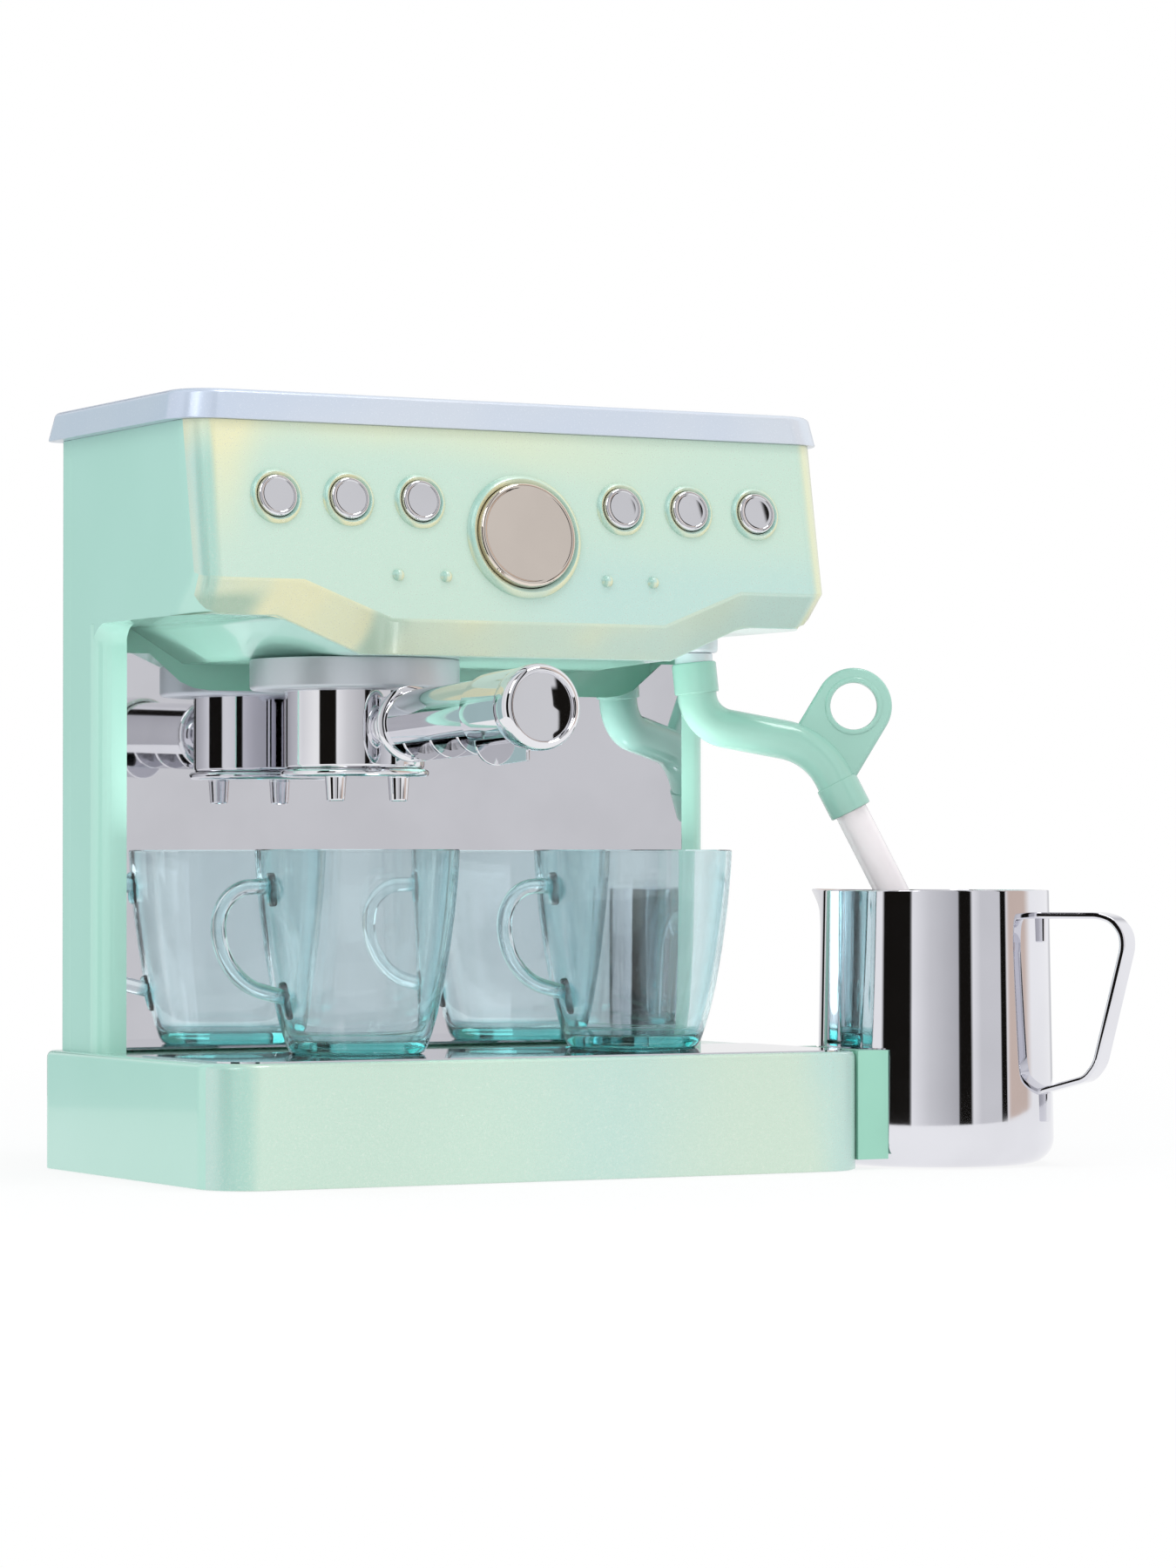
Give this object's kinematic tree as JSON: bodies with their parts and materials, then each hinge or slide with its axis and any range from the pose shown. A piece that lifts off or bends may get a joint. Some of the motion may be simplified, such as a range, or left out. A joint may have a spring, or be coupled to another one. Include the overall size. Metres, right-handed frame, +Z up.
{
  "type": "toy coffee maker",
  "caption": "Toy espresso machine with a tilted button panel, a turning portafilter over two clear cups, and a swinging steam wand that dips into a pitcher",
  "frame": {"origin": "centre of the machine base's underside, on the surface it stands on", "axes": "+X to the machine's right side where the pitcher stands, +Y to the back, +Z up; the button panel faces -Y"},
  "size_m": [0.296, 0.1912, 0.23],
  "materials": {
    "mint": "gloss",
    "mint_under": "gloss",
    "tray_pearl": "pearl",
    "mirror_sheet": "mirror",
    "chrome": "plated plastic",
    "pitcher_chrome": "polished",
    "satin_silver": "satin silver paint",
    "screw_steel": "zinc",
    "cup_teal": "clear tinted plastic",
    "clear_tube": "clear plastic",
    "dark_plastic": "matte",
    "speaker_black": "matte",
    "switch_case": "plain",
    "rubber_pad": "matte",
    "board_green": "solder mask",
    "cell_jacket": "printed sleeve, plain",
    "contact_plate": "plain"
  },
  "bodies": {
    "machine": {"front_shell": "mint", "rear_cover": "mint", "rear_screws": "screw_steel", "top_tray": "tray_pearl", "mirror_panel": "mirror_sheet", "base_shell": "mint", "base_cover": "mint_under", "base_screws": "screw_steel", "column_screws": "screw_steel", "drip_sheet": "mirror_sheet", "pitcher_cradle": "mint", "battery_door": "mint_under", "door_screw": "screw_steel", "cells": "cell_jacket", "cell_contacts": "contact_plate", "switch_body": "switch_case", "speaker": "speaker_black", "key_pad": "rubber_pad", "circuit_board": "board_green", "board_screws": "screw_steel", "group_ring": "satin_silver", "wand_nut": "satin_silver"},
    "switch": {"power_switch": "dark_plastic"},
    "brew": {"brew_button": "chrome"},
    "portafilter": {"portafilter_basket": "chrome", "spout_plate": "chrome", "portafilter_handle": "chrome", "handle_sleeve": "chrome"},
    "wand": {"steam_wand": "mint", "wand_tube": "clear_tube"},
    "pitcher": {"pitcher_body": "pitcher_chrome", "pitcher_handle": "pitcher_chrome"},
    "cup_l": {"cup_left": "cup_teal"},
    "cup_r": {"cup_right": "cup_teal"},
    "key_1": {"button_1": "chrome"},
    "key_2": {"button_2": "chrome"},
    "key_3": {"button_3": "chrome"},
    "key_4": {"button_4": "chrome"},
    "key_5": {"button_5": "chrome"},
    "key_6": {"button_6": "chrome"}
  },
  "joints": [
    {"name": "press_1", "type": "slide", "parent": "machine", "child": "key_1", "axis": [0, 0.9851, -0.1719], "range_m": [0, 0.0015], "stiffness_N_per_m": 400},
    {"name": "press_2", "type": "slide", "parent": "machine", "child": "key_2", "axis": [0, 0.9851, -0.1719], "range_m": [0, 0.0015], "stiffness_N_per_m": 400},
    {"name": "press_3", "type": "slide", "parent": "machine", "child": "key_3", "axis": [0, 0.9851, -0.1719], "range_m": [0, 0.0015], "stiffness_N_per_m": 400},
    {"name": "press_4", "type": "slide", "parent": "machine", "child": "key_4", "axis": [0, 0.9851, -0.1719], "range_m": [0, 0.0015], "stiffness_N_per_m": 400},
    {"name": "press_5", "type": "slide", "parent": "machine", "child": "key_5", "axis": [0, 0.9851, -0.1719], "range_m": [0, 0.0015], "stiffness_N_per_m": 400},
    {"name": "press_6", "type": "slide", "parent": "machine", "child": "key_6", "axis": [0, 0.9851, -0.1719], "range_m": [0, 0.0015], "stiffness_N_per_m": 400},
    {"name": "brew_press", "type": "slide", "parent": "machine", "child": "brew", "axis": [0, 0.9851, -0.1719], "range_m": [0, 0.0015], "stiffness_N_per_m": 500},
    {"name": "switch_slide", "type": "slide", "parent": "machine", "child": "switch", "axis": [1, 0, 0], "range_m": [0, 0.003]},
    {"name": "portafilter_turn", "type": "hinge", "parent": "machine", "child": "portafilter", "pos_m": [-0.036, -0.0034, 0.1437], "axis": [0, 0, -1], "range_deg": [0, 45]},
    {"name": "wand_swing", "type": "hinge", "parent": "machine", "child": "wand", "pos_m": [0.0858, 0.005, 0.1555], "axis": [0, 0, 1], "range_deg": [-24, 3]},
    {"name": "pitcher_lift", "type": "slide", "parent": "machine", "child": "pitcher", "axis": [0, 0, 1], "range_m": [0, 0.012]},
    {"name": "cup_left_out", "type": "slide", "parent": "machine", "child": "cup_l", "axis": [0, -1, 0], "range_m": [0, 0.045]},
    {"name": "cup_right_out", "type": "slide", "parent": "machine", "child": "cup_r", "axis": [0, -1, 0], "range_m": [0, 0.045]}
  ]
}
